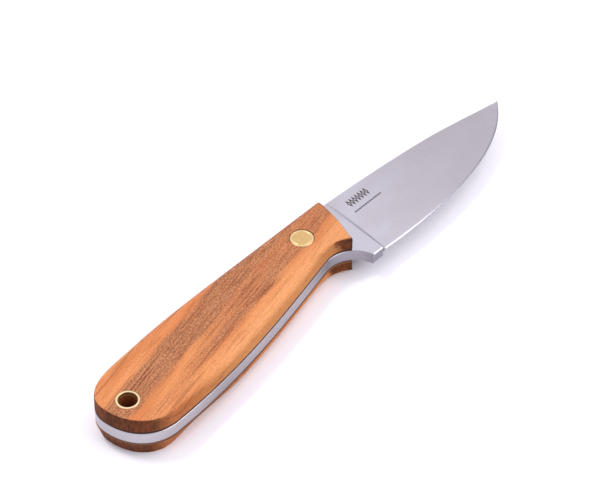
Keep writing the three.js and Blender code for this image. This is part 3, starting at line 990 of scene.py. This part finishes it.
class ScaleRings:
    """Rings round a scale, one for each level of its side, all with the same columns."""

    def __init__(self, side):
        self.hand = HANDS[side]
        self.back = resample([(SPINE_START_X, 0)] + upper_back()[1:] + belly_line()[1:])
        self.front = front_line()
        self.spine_count = round((FRONT_X - SPINE_START_X) / POINT_SPACING)
        self.front_count = len(resample(self.front)) - 1
        next_on_groove = on_groove(lerp(GROOVE_START, GROOVE_SCALE_END, 1 / GROOVE_COUNT))
        loop = [(FRONT_X, 0)] + self.back + [next_on_groove] + self.front[:-1]
        self.normals = inward_normals(loop)[1:len(self.back) + 1]

    def ring(self, level):
        spine_inset, spine_height = side_profile(FRONT_X, 0, level, self.hand)
        end = on_groove(GROOVE_SCALE_END)
        groove_inset, groove_height = side_profile(*end, level, self.hand)
        margin = FACE_MARGIN if level > ALL_LEVELS else 0
        reach = GROOVE_RADIUS + groove_inset
        front = []
        for i, (x, y) in enumerate(self.front):
            along = i / (len(self.front) - 1)
            height = lerp(groove_height, spine_height, along)
            front.append((x - front_ease(height, along) - margin, y))
        foot = first_crossing(front, lambda p: math.dist(p, GROOVE) - reach)
        top = first_crossing(front, lambda p: p[1] + spine_inset)
        part = [foot] + [p for p in front if foot[1] < p[1] < top[1] and p[0] > foot[0]] + [top]
        part = resample(part, path_length(part) / self.front_count)

        ring = []
        for i in range(self.spine_count):
            x = lerp(top[0], SPINE_START_X, i / self.spine_count)
            ring.append((x, -spine_inset, spine_height))
        for (x, y), normal in zip(self.back, self.normals):
            inset, height = side_profile(x, y, level, self.hand)
            ring.append((x + normal[0] * inset, y + normal[1] * inset, height))
        foot_angle = math.atan2(foot[1] - GROOVE[1], foot[0] - GROOVE[0])
        for i in range(1, GROOVE_COUNT + 1):
            base = on_groove(lerp(GROOVE_START, GROOVE_SCALE_END, i / GROOVE_COUNT))
            inset, height = side_profile(*base, level, self.hand)
            angle = lerp(GROOVE_START, foot_angle, i / GROOVE_COUNT)
            ring.append((*on_groove(angle, GROOVE_RADIUS + inset), height))
        for i, point in enumerate(part[1:-1], start=1):
            ring.append((*point, lerp(groove_height, spine_height, i / self.front_count)))
        return ring


def first_crossing(points, value):
    """First place along a polyline where a function of the point reaches zero from below."""
    if value(points[0]) >= 0:
        return points[0]
    for a, b in zip(points, points[1:]):
        low, high = value(a), value(b)
        if high >= 0:
            return lerp2(a, b, low / (low - high))
    return points[-1]


def path_length(points):
    return sum(math.dist(a, b) for a, b in zip(points, points[1:]))


def build_scale(name, node, side, material):
    b = Builder()
    drills = [
        (TUBE, TUBE["radius"] + FIT, SCALE_BASE, FACE),
        (BOLT, BOLT["barrel"] + FIT, SCALE_BASE, SEAT),
        (BOLT, BOLT["head"] + HEAD_FIT, SEAT, FACE),
    ]
    plan = ScaleRings(side)
    levels = [plan.ring(level) for level in range(ALL_LEVELS + 2)]
    rings = [b.ring([(x, y, side * z) for x, y, z in level]) for level in levels]
    for low, high in zip(rings, rings[1:]):
        b.bridge(low, high)
    bores = [[b.ring(circle(at, r, side * z)) for z in (low, high)] for at, r, low, high in drills]
    for low, high in bores:
        b.bridge(low, high)
    tube, barrel, head = bores
    b.bridge(barrel[1], head[0])
    b.fill(rings[-1], [tube[1], head[1]], up=side > 0)
    b.fill(rings[0], [tube[0], barrel[0]], up=side < 0)
    return b.finish(name, material, node)


def build_liner(name, node, side, material):
    b = Builder()
    outline = [(x, y) for x, y, z in ScaleRings(side).ring(0)]
    normals = inward_normals(outline)
    edge = [(x + n[0] * LINER_INSET, y + n[1] * LINER_INSET) for (x, y), n in zip(outline, normals)]
    levels = {}
    for z in (TANG_TOP, SCALE_BASE):
        rim = b.ring([(x, y, side * z) for x, y in edge])
        levels[z] = (rim, [b.ring(circle(at, r, side * z)) for at, r in DRILLS])
    (low, low_holes), (high, high_holes) = levels.values()
    b.bridge(low, high)
    for bottom, top in zip(low_holes, high_holes):
        b.bridge(bottom, top)
    b.fill(low, low_holes, up=side < 0)
    b.fill(high, high_holes, up=side > 0)
    return b.finish(name, material, node)


# ------------ brass pieces

STUD_END = 3.4
THREAD_FIT = 0.15
BLIND_ROOM = 0.6                        # left in the nut past the end of the stud
BARREL_ROOM = 0.4                       # left between the barrel and the other head
BRASS_EASE = 0.2
TUBE_EASE = 0.08
RIM_STEPS = 4
HEAD_FACE_RADIUS = 2.65                 # flat middle of a bolt head, inside its turned rim
HEAD_GROOVE = 0.03                      # depth of the groove between them
HEAD_GROOVE_HALF = 0.08                 # and half its width
BRASS_SHARP = 20                        # degrees


def eased(radius, face, ease, side=1):
    """Quarter round from the side of a turned piece over to its face."""
    pairs = []
    for i in range(RIM_STEPS + 1):
        angle = math.pi / 2 * i / RIM_STEPS
        height = face - ease * (1 - math.sin(angle))
        pairs.append((radius - ease * (1 - math.cos(angle)), side * height))
    return pairs


def head_face(side):
    """Flat rim, shallow turned groove and flat middle of a bolt head."""
    return [
        (HEAD_FACE_RADIUS + HEAD_GROOVE_HALF, side * FACE),
        (HEAD_FACE_RADIUS, side * (FACE - HEAD_GROOVE)),
        (HEAD_FACE_RADIUS - HEAD_GROOVE_HALF, side * FACE),
        (0, side * FACE),
    ]


def build_bolt(material):
    b = Builder()
    stud = [(0, -STUD_END), (BOLT["stud"], -STUD_END), (BOLT["stud"], SEAT), (BOLT["head"], SEAT)]
    turned(b, BOLT, stud + eased(BOLT["head"], FACE, BRASS_EASE) + head_face(1))
    return b.finish("scale_bolt_brass", material, "scale_bolt", BRASS_SHARP)


def build_nut(material):
    b = Builder()
    bore = BOLT["stud"] + THREAD_FIT
    floor = -STUD_END - BLIND_ROOM
    top = SEAT - BARREL_ROOM
    face = head_face(-1)[::-1] + eased(BOLT["head"], FACE, BRASS_EASE, -1)[::-1]
    barrel = [(BOLT["head"], -SEAT), (BOLT["barrel"], -SEAT), (BOLT["barrel"], top)]
    turned(b, BOLT, face + barrel + [(bore, top), (bore, floor), (0, floor)])
    return b.finish("scale_bolt_nut_brass", material, "scale_bolt_nut", BRASS_SHARP)


def build_tube(material):
    b = Builder()
    mouth = TUBE["bore"] + TUBE_EASE
    outer = eased(TUBE["radius"], FACE, TUBE_EASE)
    half = outer + [(mouth, FACE), (TUBE["bore"], FACE - TUBE_EASE)]
    turned(b, TUBE, half + [(r, -z) for r, z in half[::-1]], closed=True)
    return b.finish("lanyard_tube_brass", material, "lanyard_tube", BRASS_SHARP)


# ------------ assembly

RIGHT_WOOD = dict(shift=0.0, seed=0.0)  # shift moves the bands, in millimetres
LEFT_WOOD = dict(shift=3.5, seed=60.0)
# shares of painted highlight on the rims
BOLT_HIGHLIGHT_TONE = 0.4
TUBE_HIGHLIGHT_TONE = 0.9

build_steel(satin_steel())
right_wood = oiled_wood("oiled_wood_right", **RIGHT_WOOD)
left_wood = oiled_wood("oiled_wood_left", **LEFT_WOOD)
build_scale("right_scale_wood", "right_scale", 1, right_wood)
build_scale("left_scale_wood", "left_scale", -1, left_wood)
fibre = dark_fibre()
build_liner("right_liner_fibre", "right_liner", 1, fibre)
build_liner("left_liner_fibre", "left_liner", -1, fibre)
bolt_brass = turned_brass("brass_bolt", BOLT, 0.0, HEAD_FACE_RADIUS, BOLT_HIGHLIGHT_TONE)
build_bolt(bolt_brass)
build_nut(bolt_brass)
build_tube(turned_brass("brass_tube", TUBE, TUBE["bore"], TUBE["bore"], TUBE_HIGHLIGHT_TONE))

# ------------ studio, in metres

FLOOR_SIZE = 6.0
FLOOR_COLOUR = (0.92, 0.91, 0.945)
FLOOR_ROUGHNESS = 0.9
WORLD_COLOUR = (0.93, 0.92, 1.0)
WORLD_STRENGTH = 0.95
LIGHT_DISTANCE = 0.9
CAMERA_AT = place(-254.32, -304.735, 425.87)
CAMERA_TARGET = place(83.575, -3.679, 0)
CAMERA_LENS = 136.66                    # millimetres, as the sensor's width is
SENSOR_WIDTH = 36.0
CLIP_START, CLIP_END = 0.01, 100

scene = bpy.context.scene
scene.view_settings.view_transform = "Standard"
scene.view_settings.look = "None"


def make_floor():
    half = FLOOR_SIZE / 2
    corners = [(-half, -half), (half, -half), (half, half), (-half, half)]
    mesh = bpy.data.meshes.new("floor")
    bm = bmesh.new()
    bm.faces.new([bm.verts.new((x, y, LOW.z)) for x, y in corners])
    bm.to_mesh(mesh)
    bm.free()
    paper = Tree("floor_paper")
    paper.set(Base_Color=FLOOR_COLOUR, Roughness=FLOOR_ROUGHNESS, Specular_IOR_Level=0.0)
    mesh.materials.append(paper.material)
    floor = bpy.data.objects.new("floor", mesh)
    scene.collection.objects.link(floor)


def make_world():
    world = bpy.data.worlds.new("studio")
    scene.world = world
    world.use_nodes = True
    background = world.node_tree.nodes["Background"]
    background.inputs["Color"].default_value = (*WORLD_COLOUR, 1)
    background.inputs["Strength"].default_value = WORLD_STRENGTH


def softbox(name, azimuth, elevation, width, height, power):
    """Area light aimed at the knife. Azimuth is measured from +X towards +Y, in degrees."""
    light = bpy.data.lights.new(name, "AREA")
    light.shape = "RECTANGLE"
    light.size = width
    light.size_y = height
    light.energy = power
    lamp = bpy.data.objects.new(name, light)
    a, e = math.radians(azimuth), math.radians(elevation)
    direction = Vector((math.cos(a) * math.cos(e), math.sin(a) * math.cos(e), math.sin(e)))
    lamp.location = direction * LIGHT_DISTANCE
    lamp.rotation_euler = direction.to_track_quat("Z", "Y").to_euler()
    scene.collection.objects.link(lamp)


def make_camera():
    data = bpy.data.cameras.new("camera")
    data.sensor_fit = "HORIZONTAL"
    data.sensor_width = SENSOR_WIDTH
    data.lens = CAMERA_LENS
    data.clip_start = CLIP_START
    data.clip_end = CLIP_END
    camera = bpy.data.objects.new("camera", data)
    camera.location = CAMERA_AT
    camera.rotation_euler = (CAMERA_TARGET - CAMERA_AT).to_track_quat("-Z", "Y").to_euler()
    scene.collection.objects.link(camera)
    scene.camera = camera


make_floor()
make_world()
softbox("key", azimuth=-8, elevation=60, width=0.34, height=0.34, power=1.0)
softbox("front", azimuth=-62, elevation=43, width=0.8, height=0.5, power=2.8)
softbox("back", azimuth=112, elevation=62, width=0.26, height=0.2, power=2.9)
make_camera()
